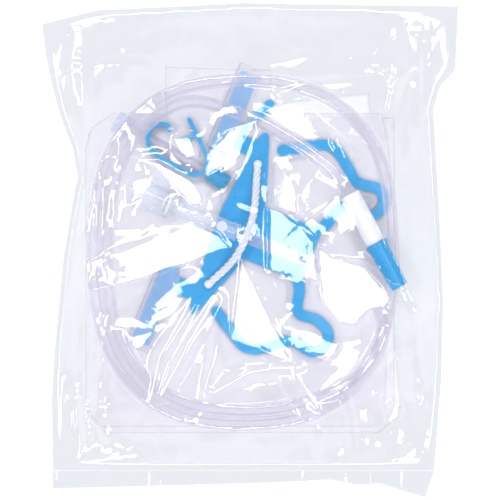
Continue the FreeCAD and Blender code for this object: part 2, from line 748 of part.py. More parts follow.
def build():
    pouch_lower_film()
    pouch_bottom_seal()
    pouch_upper_film()
    leaflet()
    bag_panels()
    bag_flaps()
    hanger()
    anchors = [cord_anchor("cord_anchor_upper", 1), cord_anchor("cord_anchor_lower", -1)]
    doc.recompute()
    hanger_cord(anchors)
    chamber_body()
    chamber_cap()
    valve_seat()
    valve_flap()
    inlet_connector()
    inlet_tee()
    port_septum()
    main_tube(tube_coil())
    tube_sleeve()
    nozzle()
    nozzle_cap()
    clamp_body()
    clamp_lever()
    clamp_pin()
    outlet_port()
    outlet_tube()
    tap()
    doc.recompute()


def check():
    for item in doc.Objects:
        if "Invalid" in item.State or "Error" in item.State:
            raise RuntimeError(f"{item.Name} failed: {item.State}")
    for name, feature in subparts.items():
        shape = feature.Shape
        if shape.isNull() or not shape.isValid() or len(shape.Solids) != 1:
            raise RuntimeError(f"{name} is not one valid solid: {len(shape.Solids)} solids")
        print(f"{name:22s} volume {shape.Volume:10.1f} mm3")


def write():
    os.makedirs("parts", exist_ok=True)
    for name, feature in subparts.items():
        feature.Shape.exportStep(f"parts/{name}.step")


build()
check()
write()
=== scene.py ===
"""Looks for a gravity ear-washing set sealed in a clear film pouch. All lengths are in metres."""

import math

import bpy
import numpy as np
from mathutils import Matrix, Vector
from mathutils.bvhtree import BVHTree


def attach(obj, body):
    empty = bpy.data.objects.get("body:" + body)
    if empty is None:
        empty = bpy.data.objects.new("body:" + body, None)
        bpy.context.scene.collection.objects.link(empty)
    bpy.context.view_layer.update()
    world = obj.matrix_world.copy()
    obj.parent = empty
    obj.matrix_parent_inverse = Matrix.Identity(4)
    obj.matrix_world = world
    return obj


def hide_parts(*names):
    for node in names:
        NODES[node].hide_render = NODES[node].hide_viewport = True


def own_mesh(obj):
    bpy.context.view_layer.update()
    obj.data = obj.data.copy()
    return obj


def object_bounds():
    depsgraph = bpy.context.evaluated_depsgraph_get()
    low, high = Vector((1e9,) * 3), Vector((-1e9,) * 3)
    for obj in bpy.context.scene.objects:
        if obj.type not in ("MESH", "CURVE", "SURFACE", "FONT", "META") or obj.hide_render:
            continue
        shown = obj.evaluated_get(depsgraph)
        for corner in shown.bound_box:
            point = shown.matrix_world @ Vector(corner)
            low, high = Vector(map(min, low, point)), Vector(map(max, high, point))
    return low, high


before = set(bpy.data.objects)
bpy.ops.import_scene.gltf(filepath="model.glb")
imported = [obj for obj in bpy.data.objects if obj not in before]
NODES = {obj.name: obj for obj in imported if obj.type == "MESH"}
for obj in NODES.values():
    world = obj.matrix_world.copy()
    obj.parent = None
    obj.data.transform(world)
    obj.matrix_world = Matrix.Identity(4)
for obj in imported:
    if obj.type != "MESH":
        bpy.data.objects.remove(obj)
bpy.context.view_layer.update()
cad_low, cad_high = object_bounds()

ROOT = "pouch_and_set"

# ---------------- places, as in the CAD part

HANGER_ANGLE = math.radians(-22.3)
HANGER_CENTRE = Vector((-0.0026, 0.0133, 0.0))
CLAMP_ANGLE = math.radians(-29.4)
CLAMP_CENTRE = Vector((-0.048, 0.0616, 0.0))
NOZZLE_ANGLE = math.radians(-61.6)
SLEEVE_START = Vector((0.0642, 0.0358, 0.0234))
COIL_CENTRE = Vector((-0.0039, -0.0016, 0.0))
INLET_HEIGHT = 0.0113
OUTLET_HEIGHT = 0.0073
SEAL_LINE_Y = -0.143


def turned(angle, along, across, height=0.0):
    """A vector given along and across a direction at an angle to +X."""
    cosine = math.cos(angle)
    sine = math.sin(angle)
    return Vector((along * cosine - across * sine, along * sine + across * cosine, height))


def hanger_point(u, w, height=0.0):
    return HANGER_CENTRE + turned(HANGER_ANGLE, u, w, height)


def clamp_point(along, across, height=0.0):
    return CLAMP_CENTRE + turned(CLAMP_ANGLE, along, across, height)


# ---------------- camera

VIEW_WIDTH = 0.325
CAMERA_HEIGHT = 2.5


def make_camera():
    """Straight down on the pouch, with its header at the top of the picture."""
    data = bpy.data.cameras.new("camera")
    data.sensor_width = 36.0
    data.lens = data.sensor_width * CAMERA_HEIGHT / VIEW_WIDTH
    data.clip_end = 20.0
    camera = bpy.data.objects.new("camera", data)
    camera.location = (0.0, 0.0, CAMERA_HEIGHT)
    bpy.context.scene.collection.objects.link(camera)
    bpy.context.scene.camera = camera


make_camera()

# ---------------- mesh helpers


def make_object(name, places, faces, smooth=True):
    """A mesh object from lists of places and faces."""
    mesh = bpy.data.meshes.new(name)
    mesh.from_pydata([tuple(place) for place in places], [], [tuple(face) for face in faces])
    mesh.validate()
    mesh.polygons.foreach_set("use_smooth", [smooth] * len(mesh.polygons))
    mesh.update()
    piece = bpy.data.objects.new(name, mesh)
    bpy.context.scene.collection.objects.link(piece)
    return piece


def grid_faces(columns, rows):
    """Four-sided faces over a grid of places that is stored row by row."""
    corner = np.arange(rows - 1)[:, None] * columns + np.arange(columns - 1)[None, :]
    corner = corner.ravel()
    return np.stack([corner, corner + 1, corner + columns + 1, corner + columns], axis=1)


def nurbs_line(points, detail=12):
    """Points along the smooth NURBS line that has these control points."""
    curve = bpy.data.curves.new("route", "CURVE")
    curve.dimensions = "3D"
    curve.resolution_u = detail
    spline = curve.splines.new("NURBS")
    spline.points.add(len(points) - 1)
    for control, place in zip(spline.points, points):
        control.co = (*place, 1.0)
    spline.order_u = 3
    spline.use_endpoint_u = True
    holder = bpy.data.objects.new("route", curve)
    bpy.context.scene.collection.objects.link(holder)
    bpy.context.view_layer.update()
    mesh = bpy.data.meshes.new_from_object(holder.evaluated_get(bpy.context.evaluated_depsgraph_get()))
    line = [vertex.co.copy() for vertex in mesh.vertices]
    bpy.data.objects.remove(holder)
    bpy.data.curves.remove(curve)
    bpy.data.meshes.remove(mesh)
    return line


def frames_along(line):
    """A pair of directions across the line at each point, which turn as little as they can."""
    side = Vector((0, 0, 1)).cross(line[1] - line[0]).normalized()
    pairs = []
    for index in range(len(line)):
        ahead = line[min(index + 1, len(line) - 1)] - line[max(index - 1, 0)]
        ahead.normalize()
        side = (side - ahead * side.dot(ahead)).normalized()
        pairs.append((side.copy(), ahead.cross(side)))
    return pairs


def distances(line):
    """How far along the line each of its points is."""
    steps = [(after - before).length for before, after in zip(line, line[1:])]
    return np.concatenate([[0.0], np.cumsum(steps)])


def swept(line, radius, sides, first=0, inward=False):
    """The places and faces of a round skin about a line."""
    places = []
    for centre, (side, rise) in zip(line, frames_along(line)):
        for step in range(sides):
            angle = 2 * math.pi * step / sides
            places.append(centre + side * (radius * math.cos(angle)) + rise * (radius * math.sin(angle)))
    faces = []
    for ring in range(len(line) - 1):
        for step in range(sides):
            a = first + ring * sides + step
            b = first + ring * sides + (step + 1) % sides
            face = (a, b, b + sides, a + sides)
            faces.append(face[::-1] if inward else face)
    return places, faces


def hose(line, outer, inner, sides=20):
    """The places and faces of a hollow tube: two skins and a ring of faces at each end."""
    places, faces = swept(line, outer, sides)
    count = len(places)
    more, lining = swept(line, inner, sides, count, inward=True)
    for ring, turn in ((0, 1), (len(line) - 1, -1)):
        for step in range(sides):
            a = ring * sides + step
            b = ring * sides + (step + 1) % sides
            faces.append((b, a, a + count, b + count)[::turn])
    return places + more, faces + lining


def joined_shells(name, shells):
    """One object from several lists of places and faces."""
    places = []
    faces = []
    for some_places, some_faces in shells:
        faces += [tuple(index + len(places) for index in face) for face in some_faces]
        places += list(some_places)
    return make_object(name, places, faces)


# ---------------- cords: the long tube

TUBE_DIAMETER = 0.0085
TUBE_BORE_RADIUS = 0.0029
LEAD_IN_ROUTE = [(0.0121, 0.0024, 0.0113), (0.0325, -0.005, 0.011), (0.051, -0.0138, 0.0108),
                 (0.067, -0.0212, 0.0106), (0.0783, -0.03, 0.0107), (0.0851, -0.0417, 0.0109),
                 (0.088, -0.0545, 0.011)]
LEAD_OUT_ROUTE = [(-0.038, 0.0975, 0.0161), (-0.015, 0.0915, 0.0162), (0.008, 0.082, 0.017),
                  (0.031, 0.0685, 0.0186), (0.0475, 0.0565, 0.0214), (0.058, 0.0476, 0.0231)]
CROSSING_ROUTE = [(0.0935, -0.02, 0.0112), (0.0908, -0.035, 0.0122), (0.0875, -0.048, 0.0165),
                  (0.082, -0.063, 0.0198), (0.0745, -0.076, 0.0175), (0.064, -0.087, 0.0133)]
OUTER_PASS = (0.0986, 0.1126, 2.5)
INNER_PASS = (0.0899, 0.1039, 2.5)
OUTER_ANGLES = (-36, -340)
INNER_ANGLES = (-62, -238)
COIL_MIDDLE_HEIGHT = 0.01344
COIL_SLOPE = 0.0192
POINTS_PER_TURN = 18


def coil_point(oval, degrees):
    """A point of one pass of the coil: a squarish oval, tilted up towards the upper left."""
    half_width, half_height, power = oval
    cosine = math.cos(math.radians(degrees))
    sine = math.sin(math.radians(degrees))
    x = half_width * math.copysign(abs(cosine) ** (2 / power), cosine)
    y = half_height * math.copysign(abs(sine) ** (2 / power), sine)
    return COIL_CENTRE + Vector((x, y, COIL_MIDDLE_HEIGHT + COIL_SLOPE * (y - x)))


def coil_pass(oval, start, end):
    """Control points from one angle down to another, so clockwise."""
    count = round((start - end) / 360 * POINTS_PER_TURN)
    return [coil_point(oval, start + (end - start) * step / count) for step in range(count + 1)]


def long_tube_route():
    """From the inlet tee, about one and a half times round the coil, to the nozzle's sleeve."""
    start = hanger_point(-0.004, -0.004, INLET_HEIGHT)
    lead_in = [Vector(point) for point in LEAD_IN_ROUTE]
    outer = coil_pass(OUTER_PASS, *OUTER_ANGLES)
    crossing = [Vector(point) for point in CROSSING_ROUTE]
    inner = coil_pass(INNER_PASS, *INNER_ANGLES)
    lead_out = [Vector(point) for point in LEAD_OUT_ROUTE]
    return [start, *lead_in, *outer, *crossing, *inner, *lead_out, SLEEVE_START.copy()]


def make_long_tube():
    line = nurbs_line(long_tube_route())
    places, faces = hose(line, TUBE_DIAMETER / 2, TUBE_BORE_RADIUS)
    tube = make_object("long_tube", places, faces)
    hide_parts("tube_lead_in", "tube_coil", "tube_lead_out")
    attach(tube, ROOT)
    return tube


long_tube = make_long_tube()

# ---------------- cords: the twisted hanger cord

ROPE_DIAMETER = 0.005
CORD_ROUTE = [(-0.009, 0.042, 0.0081), (-0.006, 0.0325, 0.009), (-0.0025, 0.023, 0.013),
              (0.0005, 0.013, 0.0185), (0.002, 0.003, 0.0215), (0.002, -0.01, 0.0215),
              (0.0005, -0.02, 0.018), (-0.0025, -0.0285, 0.0125), (-0.006, -0.0355, 0.0092),
              (-0.009, -0.042, 0.0081)]
STRANDS = 3
STRAND_RADIUS = 0.00125
STRAND_REACH = ROPE_DIAMETER / 2 - STRAND_RADIUS
TWIST_PITCH = 0.0135


def rope_strand(line, pairs, along, start_angle):
    """The middle line of one strand of a laid rope."""
    strand = []
    for centre, (side, rise), distance in zip(line, pairs, along):
        angle = start_angle + 2 * math.pi * distance / TWIST_PITCH
        across = side * (STRAND_REACH * math.cos(angle))
        strand.append(centre + across + rise * (STRAND_REACH * math.sin(angle)))
    return strand


def make_hanger_cord():
    """Three strands laid round a thin core, which fills the middle of the rope."""
    route = [hanger_point(*point) for point in CORD_ROUTE]
    line = nurbs_line(route, detail=26)
    pairs = frames_along(line)
    along = distances(line)
    shells = [swept(line, STRAND_REACH, 10)]
    for index in range(STRANDS):
        strand = rope_strand(line, pairs, along, 2 * math.pi * index / STRANDS)
        shells.append(swept(strand, STRAND_RADIUS, 12))
    cord = joined_shells("twisted_cord", shells)
    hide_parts("hanger_cord")
    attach(cord, ROOT)
    return cord


twisted_cord = make_hanger_cord()

# ---------------- the short outlet tube

OUTLET_START = -0.032
OUTLET_END = 0.024
PINCH_REACH = 0.008
PINCH_SHARES = (0.86, 0.66, 0.46, 0.34, 0.34, 0.34, 0.46, 0.66, 0.86)
PINCH_STEP = 2 * PINCH_REACH / len(PINCH_SHARES)
OUTLET_SIDES = 28


def outlet_hose(start, end, count):
    """A straight length of the outlet tube, between two places along the clamp."""
    line = [clamp_point(start + (end - start) * step / count, 0, OUTLET_HEIGHT)
            for step in range(count + 1)]
    return hose(line, TUBE_DIAMETER / 2, TUBE_BORE_RADIUS, OUTLET_SIDES)


def make_outlet_ends():
    shells = [outlet_hose(OUTLET_START, -PINCH_REACH, 16), outlet_hose(PINCH_REACH, OUTLET_END, 11)]
    ends = joined_shells("outlet_tube_ends", shells)
    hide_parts("outlet_tube", "outlet_tube_end")
    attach(ends, ROOT)
    return ends


def make_pinch_rings():
    """A row of short round rings between the two ends, under the lever's jaw."""
    rings = []
    for index, share in enumerate(PINCH_SHARES):
        start = -PINCH_REACH + index * PINCH_STEP
        places, faces = outlet_hose(start, start + PINCH_STEP, 2)
        ring = make_object(f"outlet_tube_pinch_{index + 1}", places, faces)
        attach(ring, ROOT)
        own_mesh(ring)
        rings.append(ring)
    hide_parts("outlet_tube_pinched")
    return rings


outlet_pieces = [make_outlet_ends(), *make_pinch_rings()]

# ---------------- height maps

STEP = 0.001
COARSEST = 8
MARGIN = 0.006
MAP_COLUMNS = COARSEST * math.ceil((cad_high.x - cad_low.x + 2 * MARGIN) / STEP / COARSEST)
MAP_ROWS = COARSEST * math.ceil((cad_high.y - cad_low.y + 2 * MARGIN) / STEP / COARSEST)
XS = cad_low.x - MARGIN + STEP * np.arange(MAP_COLUMNS)
YS = cad_low.y - MARGIN + STEP * np.arange(MAP_ROWS)
MAP_X, MAP_Y = np.meshgrid(XS, YS)
FACET_REACH = 0.24
SETTLING = ((8, 240), (4, 160), (2, 120), (1, 90))


def smoothstep(value, low, high):
    """0 below low and 1 above high, with a smooth rise between them."""
    share = np.clip((value - low) / (high - low), 0, 1)
    return share * share * (3 - 2 * share)


def inside(polygon):
    """True where the map is inside a polygon."""
    result = np.zeros(MAP_X.shape, bool)
    for (x1, y1), (x2, y2) in zip(polygon, polygon[1:] + polygon[:1]):
        if y1 == y2:
            continue
        spans = (y1 > MAP_Y) != (y2 > MAP_Y)
        result ^= spans & (MAP_X < x1 + (MAP_Y - y1) * (x2 - x1) / (y2 - y1))
    return result


def distance_to(line):
    """Distance on the map to a line of straight runs."""
    nearest = np.full(MAP_X.shape, 1.0)
    for (x1, y1), (x2, y2) in zip(line, line[1:]):
        run = (x2 - x1) ** 2 + (y2 - y1) ** 2
        share = np.clip(((MAP_X - x1) * (x2 - x1) + (MAP_Y - y1) * (y2 - y1)) / run, 0, 1)
        gap = np.hypot(MAP_X - x1 - share * (x2 - x1), MAP_Y - y1 - share * (y2 - y1))
        nearest = np.minimum(nearest, gap)
    return nearest


def fill_triangle(target, corners, values):
    """Write the plane through three corners into the map, inside their triangle."""
    (x1, y1), (x2, y2), (x3, y3) = corners
    left = max(int((min(x1, x2, x3) - XS[0]) / STEP), 0)
    right = min(int((max(x1, x2, x3) - XS[0]) / STEP) + 2, MAP_COLUMNS)
    low = max(int((min(y1, y2, y3) - YS[0]) / STEP), 0)
    high = min(int((max(y1, y2, y3) - YS[0]) / STEP) + 2, MAP_ROWS)
    if left >= right or low >= high:
        return
    area = (x2 - x1) * (y3 - y1) - (x3 - x1) * (y2 - y1)
    x = MAP_X[low:high, left:right] - x1
    y = MAP_Y[low:high, left:right] - y1
    second = (x * (y3 - y1) - (x3 - x1) * y) / area
    third = ((x2 - x1) * y - x * (y2 - y1)) / area
    within = (second >= -1e-9) & (third >= -1e-9) & (second + third <= 1 + 1e-9)
    plane = values[0] * (1 - second - third) + values[1] * second + values[2] * third
    target[low:high, left:right][within] = plane[within]


def facets(spacing, seed, stretch=1.0, angle=0.0):
    """A map of random flat facets that meet in sharp creases, with heights from -1 to 1."""
    draw = np.random.default_rng(seed)
    cells = int(2 * FACET_REACH / spacing)
    rows, columns = np.mgrid[0:cells + 1, 0:cells + 1]
    along = ((columns + draw.uniform(-0.4, 0.4, rows.shape)) * spacing - FACET_REACH) * stretch
    across = (rows + draw.uniform(-0.4, 0.4, rows.shape)) * spacing - FACET_REACH
    x = along * math.cos(angle) - across * math.sin(angle)
    y = along * math.sin(angle) + across * math.cos(angle)
    height = draw.uniform(-1, 1, rows.shape)
    flipped = draw.random(rows.shape) < 0.5
    result = np.zeros(MAP_X.shape)
    for row in range(cells):
        for column in range(cells):
            ring = [(row, column), (row, column + 1), (row + 1, column + 1), (row + 1, column)]
            if flipped[row, column]:
                ring = ring[1:] + ring[:1]
            for three in (ring[:3], [ring[0], ring[2], ring[3]]):
                fill_triangle(result, [(x[p], y[p]) for p in three], [height[p] for p in three])
    return result


def neighbours(height):
    """The map moved by one step each way, so that every point meets its four neighbours."""
    padded = np.pad(height, 1, mode="edge")
    return padded[:-2, 1:-1], padded[2:, 1:-1], padded[1:-1, :-2], padded[1:-1, 2:]


def blurred(height, rounds):
    for _ in range(rounds):
        below, above, left, right = neighbours(height)
        height = (below + above + left + right + 2 * height) / 6
    return height


def spread(height, choose, rounds):
    """Widen what is high, or with np.minimum what is low, by one step a round."""
    for _ in range(rounds):
        for neighbour in neighbours(height):
            height = choose(height, neighbour)
    return height


def relax(height, floor, fixed, rounds):
    """Let a stretched sheet settle on what is under it, and stay where it is fixed."""
    for _ in range(rounds):
        level = height.copy()
        level[1:-1, 1:-1] = (height[:-2, 1:-1] + height[2:, 1:-1]
                             + height[1:-1, :-2] + height[1:-1, 2:]) / 4
        height = np.where(fixed, height, np.maximum(level, floor))
    return height


def pooled(values, factor, how):
    """A coarser map, with one value for each block of factor by factor points."""
    rows, columns = values.shape
    return how(values.reshape(rows // factor, factor, columns // factor, factor), axis=(1, 3))


def settled(floor, fixed, fixed_height):
    """A stretched sheet over a floor, worked out on a coarse map first and then on finer ones."""
    height = None
    for factor, rounds in SETTLING:
        low = pooled(floor, factor, np.max)
        held = pooled(fixed, factor, np.mean) > 0.5
        level = pooled(fixed_height, factor, np.mean)
        if height is None:
            height = np.maximum(low, level)
        else:
            height = np.repeat(np.repeat(height, 2, axis=0), 2, axis=1)
        height = np.where(held, level, np.maximum(height, low))
        height = relax(height, low, held, rounds)
    return height


def sampled(values, x, y):
    """Read the map at places between its points."""
    column = np.clip((x - XS[0]) / STEP, 0, MAP_COLUMNS - 1.001)
    row = np.clip((y - YS[0]) / STEP, 0, MAP_ROWS - 1.001)
    left = column.astype(int)
    low = row.astype(int)
    s = column - left
    t = row - low
    return ((1 - t) * ((1 - s) * values[low, left] + s * values[low, left + 1])
            + t * ((1 - s) * values[low + 1, left] + s * values[low + 1, left + 1]))


# ---------------- what the sheets lie on or under

LOW_PARTS = ("pouch_lower_film", "pouch_bottom_seal", "pouch_upper_film", "leaflet",
             "bag_back_panel", "bag_front_panel", "tube_lead_in", "tube_coil", "tube_lead_out",
             "hanger_cord", "bag_flap_upper", "bag_flap_lower")
CAP_TRAVEL = 0.02
RAY_START = 0.05
BAG_TOP = 0.0019
MOST_HEADROOM = 0.012


def contents_tree():
    """A search tree of the rigid parts and tubes, with the cap where it is and as it comes off."""
    places = []
    faces = []
    pieces = [piece for name, piece in NODES.items() if name not in LOW_PARTS]
    pieces += [long_tube, twisted_cord]
    for piece in pieces:
        shifts = [0.0]
        if piece.name == "nozzle_cap":
            shifts = [CAP_TRAVEL * share for share in (0, 0.25, 0.5, 0.75, 1)]
        for shift in shifts:
            move = turned(NOZZLE_ANGLE, shift, 0)
            first = len(places)
            places += [vertex.co + move for vertex in piece.data.vertices]
            faces += [[first + index for index in polygon.vertices] for polygon in piece.data.polygons]
    return BVHTree.FromPolygons(places, faces)


def ray_map(tree, height, direction, missed):
    """The height at which vertical rays from a level meet the contents."""
    result = np.full(MAP_X.shape, missed)
    for row, y in enumerate(YS):
        for column, x in enumerate(XS):
            hit = tree.ray_cast(Vector((x, y, height)), direction)[0]
            if hit is not None:
                result[row, column] = hit.z
    return result


CONTENTS = contents_tree()
TOPS = ray_map(CONTENTS, RAY_START, Vector((0, 0, -1)), 0.0)
UNDERSIDES = ray_map(CONTENTS, BAG_TOP, Vector((0, 0, 1)), MOST_HEADROOM)

# ---------------- pouch outline

FOOT_EDGE = [(-0.1281, -0.155), (-0.0325, -0.1524), (0.013, -0.1511), (0.052, -0.1492),
             (0.0683, -0.1524), (0.0845, -0.1518), (0.0975, -0.1557), (0.1138, -0.1605)]
RIGHT_EDGE = [(0.1242, -0.0842), (0.1255, -0.0322), (0.1235, 0.0133), (0.1209, 0.0588),
              (0.119, 0.0913), (0.1235, 0.1063), (0.1333, 0.1173)]
TOP_EDGE = [(0.1352, 0.1583), (0.0325, 0.1596), (-0.0033, 0.1605), (-0.0325, 0.1589),
            (-0.0995, 0.1557), (-0.1352, 0.1466)]
LEFT_EDGE = [(-0.1326, 0.127), (-0.1287, 0.1076), (-0.1235, 0.0881), (-0.115, 0.0653),
             (-0.1118, 0.0471), (-0.1138, 0.0393), (-0.1209, -0.0029), (-0.1268, -0.0647),
             (-0.1287, -0.0972)]
SEAL_LEFT = (-0.1281, SEAL_LINE_Y)
SEAL_RIGHT = (0.1196, SEAL_LINE_Y)
OUTLINE = [SEAL_LEFT, SEAL_RIGHT] + RIGHT_EDGE + TOP_EDGE + LEFT_EDGE
WELD_WIDTH = 0.0045
FILM_THICKNESS = 0.0003
FILM_LOW = 0.00035
FILM_TOP = 0.0314
CLEARANCE = 0.0004
HEADER_START = 0.112
HEADER_END = 0.135
# How the film settles, in steps of the map: the gaps that it bridges, its room beside the
# contents, and how much it is smoothed.
BRIDGE = 7
SIDE_ROOM = 2
STIFFNESS = 24
UPPER_GRID = (262, 302)
LOWER_GRID = (180, 214)
SEAL_GRID = (420, 14)


def resampled(points, count):
    """A number of places, evenly spaced along a line of straight runs."""
    points = np.array(points, float)
    along = np.concatenate([[0.0], np.cumsum(np.hypot(*np.diff(points, axis=0).T))])
    places = np.linspace(0, along[-1], count)
    return np.stack([np.interp(places, along, points[:, 0]), np.interp(places, along, points[:, 1])], 1)


def grid_between(bottom, right, top, left, columns, rows):
    """A grid of places between four edges, each given from its left or its lower end."""
    s = np.linspace(0, 1, columns)[None, :, None]
    t = np.linspace(0, 1, rows)[:, None, None]
    low = resampled(bottom, columns)[None]
    high = resampled(top, columns)[None]
    west = resampled(left, rows)[:, None]
    east = resampled(right, rows)[:, None]
    corners = ((1 - s) * (1 - t) * low[:, :1] + s * (1 - t) * low[:, -1:]
               + (1 - s) * t * high[:, :1] + s * t * high[:, -1:])
    return (1 - t) * low + t * high + (1 - s) * west + s * east - corners


def sheet_from(name, grid, heights):
    rows, columns = heights.shape
    places = np.dstack([grid, heights]).reshape(-1, 3)
    return make_object(name, places, grid_faces(columns, rows))


# ---------------- film relief

# Flat facets of the upper film: outline, and how far the film drops per metre towards +x and +y.
FLAT_FACETS = [
    ([(-0.0065, 0.0003), (-0.014, -0.058), (0.005, -0.064), (0.0295, -0.0755)], 0.207, 0.02),
    ([(0.010, 0.029), (0.020, 0.026), (0.034, 0.016), (0.052, -0.008), (0.054, -0.024),
      (0.010, -0.014)], -0.185, 0.0),
    ([(0.042, 0.006), (0.053, -0.003), (0.074, -0.009), (0.087, -0.022), (0.098, -0.024),
      (0.088, -0.036), (0.077, -0.039), (0.068, -0.05), (0.058, -0.048), (0.046, -0.034)], 0.178, 0.011),
    ([(0.022, 0.052), (0.0305, 0.039), (0.0325, 0.020), (0.016, 0.0276)], 0.198, -0.014),
    ([(-0.0767, 0.0601), (-0.0585, 0.0588), (-0.039, 0.0478), (-0.0306, 0.0374), (-0.0293, 0.0283),
      (-0.0377, 0.0263), (-0.0475, 0.0393), (-0.0605, 0.0504)], 0.022, -0.227),
    ([(-0.0631, 0.0478), (-0.0618, 0.0413), (-0.08, 0.0276), (-0.0995, 0.0153), (-0.1092, 0.0068),
      (-0.106, 0.0198), (-0.0956, 0.0361), (-0.08, 0.0439)], -0.173, -0.01),
    ([(-0.0306, 0.0439), (-0.028, 0.0634), (-0.015, 0.0783), (0.0065, 0.0868), (0.004, 0.0765),
      (-0.009, 0.0585)], 0.212, -0.028),
    ([(-0.052, 0.0738), (-0.0371, 0.0751), (-0.0325, 0.0608), (-0.041, 0.0569), (-0.0488, 0.0634)],
     0.225, -0.027),
    ([(-0.106, -0.0062), (-0.08, 0.0023), (-0.0501, 0.0133), (-0.0371, 0.0179), (-0.0195, 0.0114),
      (-0.013, 0.0023), (-0.0325, -0.0062), (-0.0696, -0.0192), (-0.104, -0.0276)], 0.023, 0.211),
]

# Rounded creases of the upper film: line and half width. Each rises by this share of its half width.
CREASE_RISE = 0.16
CREASES = [
    ([(-0.0215, -0.032), (-0.039, -0.061), (-0.050, -0.083), (-0.067, -0.117)], 0.004),
    ([(-0.036, -0.033), (-0.058, -0.07), (-0.0625, -0.095), (-0.072, -0.117)], 0.004),
    ([(-0.085, -0.03), (-0.094, -0.045), (-0.097, -0.075), (-0.1, -0.112)], 0.0035),
    ([(-0.029, -0.094), (0.0, -0.079), (0.0325, -0.075)], 0.004),
    ([(-0.029, -0.094), (-0.023, -0.07), (-0.021, -0.05)], 0.0035),
    ([(0.028, -0.08), (0.037, -0.095), (0.044, -0.103)], 0.003),
    ([(0.0195, 0.1008), (0.036, 0.107), (0.052, 0.109), (0.0845, 0.111)], 0.004),
    ([(0.056, 0.072), (0.062, 0.06), (0.065, 0.036)], 0.003),
    ([(0.105, 0.07), (0.112, 0.02), (0.108, -0.05), (0.114, -0.1)], 0.004),
    ([(0.116, 0.05), (0.119, -0.02), (0.117, -0.09)], 0.004),
    ([(0.088, 0.003), (0.0845, -0.0065), (0.089, -0.014), (0.0935, -0.02)], 0.003),
    ([(-0.101, 0.06), (-0.108, 0.0), (-0.113, -0.06)], 0.0035),
    ([(-0.098, -0.02), (-0.103, -0.07), (-0.094, -0.12)], 0.004),
    ([(-0.108, -0.1), (-0.105, -0.118), (-0.11, -0.135)], 0.003),
    ([(0.047, -0.117), (0.043, -0.128), (0.046, -0.14)], 0.003),
    ([(0.060, -0.09), (0.067, -0.115), (0.068, -0.138)], 0.004),
    ([(0.082, -0.095), (0.086, -0.115), (0.084, -0.14)], 0.0035),
    ([(0.096, -0.1), (0.1, -0.12), (0.097, -0.14)], 0.0035),
    ([(-0.120, 0.119), (-0.07, 0.124), (-0.05, 0.112)], 0.004),
    ([(-0.107, 0.064), (-0.104, 0.045), (-0.106, 0.03)], 0.003),
]


def film_floor(within, depth, weld):
    """The lowest that the upper film can lie: over the contents, or just above the lower film."""
    bridged = spread(spread(TOPS, np.maximum, BRIDGE), np.minimum, BRIDGE)
    wide_tops = spread(TOPS, np.maximum, SIDE_ROOM)
    floor = np.where(within, np.maximum(blurred(bridged, 4), wide_tops) + CLEARANCE, weld)
    open_film = weld + CLEARANCE * smoothstep(depth, WELD_WIDTH, 0.03)
    return np.where(bridged > 0, floor, open_film)


def facet_plane(height, floor, area, slope_x, slope_y):
    """A flat facet's plane through the middle of its area, clear of the contents."""
    x0 = MAP_X[area].mean()
    y0 = MAP_Y[area].mean()
    plane = height[area].mean() - slope_x * (MAP_X - x0) - slope_y * (MAP_Y - y0)
    plane += max(0.0, (floor - plane)[area].max())
    plane -= max(0.0, (plane[area].max() - FILM_TOP))
    return plane


def stretched_film(floor, fixed, weld):
    """The film pulled over the contents between its welds, with its flat facets pressed in."""
    height = settled(floor, fixed, weld)
    for polygon, slope_x, slope_y in FLAT_FACETS:
        area = inside(polygon)
        height = np.where(area, facet_plane(height, floor, area, slope_x, slope_y), height)
        fixed = fixed | area
    height = settled(floor, fixed, np.where(fixed, height, 0.0))
    return np.where(fixed, height, np.maximum(blurred(height, STIFFNESS), floor))


def calm_places():
    """Where the film's random relief is held down: on the flat facets and beside the creases."""
    flat = np.zeros(MAP_X.shape)
    for polygon, _, _ in FLAT_FACETS:
        flat = np.maximum(flat, inside(polygon))
    calm = 1 - 0.85 * blurred(flat, 4)
    for line, width in CREASES:
        calm = np.minimum(calm, smoothstep(distance_to(line), 0.0, 2.5 * width) + 0.15)
    return calm


def film_relief(depth, header, wide):
    """The crinkles and creases of the upper film, as heights above its stretched shape."""
    fine = facets(0.005, 11)
    small = facets(0.011, 12, 1.6, 0.5)
    broad = facets(0.055, 14, 1.3, -0.7)
    ribs = facets(0.006, 15, 5.0, math.radians(90))
    rise = smoothstep(depth, WELD_WIDTH, WELD_WIDTH + 0.012)
    rim = rise * (1 - smoothstep(depth, 0.018, 0.05))
    crinkles = rise * (0.003 * broad + 0.0014 * wide + 0.0004 * small)
    relief = crinkles * calm_places() * (1 - 0.6 * header)
    relief += rim * (0.0012 * small + 0.0002 * fine + 0.001 * ribs) * (1 - 0.6 * header)
    for line, width in CREASES:
        relief += rise * CREASE_RISE * width * np.clip(1 - (distance_to(line) / width) ** 2, 0, 1)
    return relief


def pouch_maps():
    """The heights of the two films. They are one thickness apart at the welds."""
    within = inside(OUTLINE)
    depth = np.where(within, distance_to(OUTLINE + OUTLINE[:1]), 0.0)
    header = smoothstep(MAP_Y, HEADER_START, HEADER_END)
    wide = facets(0.03, 13)
    lower = FILM_LOW + smoothstep(depth, 0.0, 0.02) * header * (0.0003 + 0.0002 * wide)
    weld = lower + FILM_THICKNESS
    floor = film_floor(within, depth, weld)
    height = stretched_film(floor, depth < WELD_WIDTH, weld)
    height = np.maximum(height + film_relief(depth, header, wide), floor)
    height = np.minimum(height, np.maximum(FILM_TOP, floor))
    return lower, np.where(depth < WELD_WIDTH, weld, height)


LOWER_HEIGHT, UPPER_HEIGHT = pouch_maps()


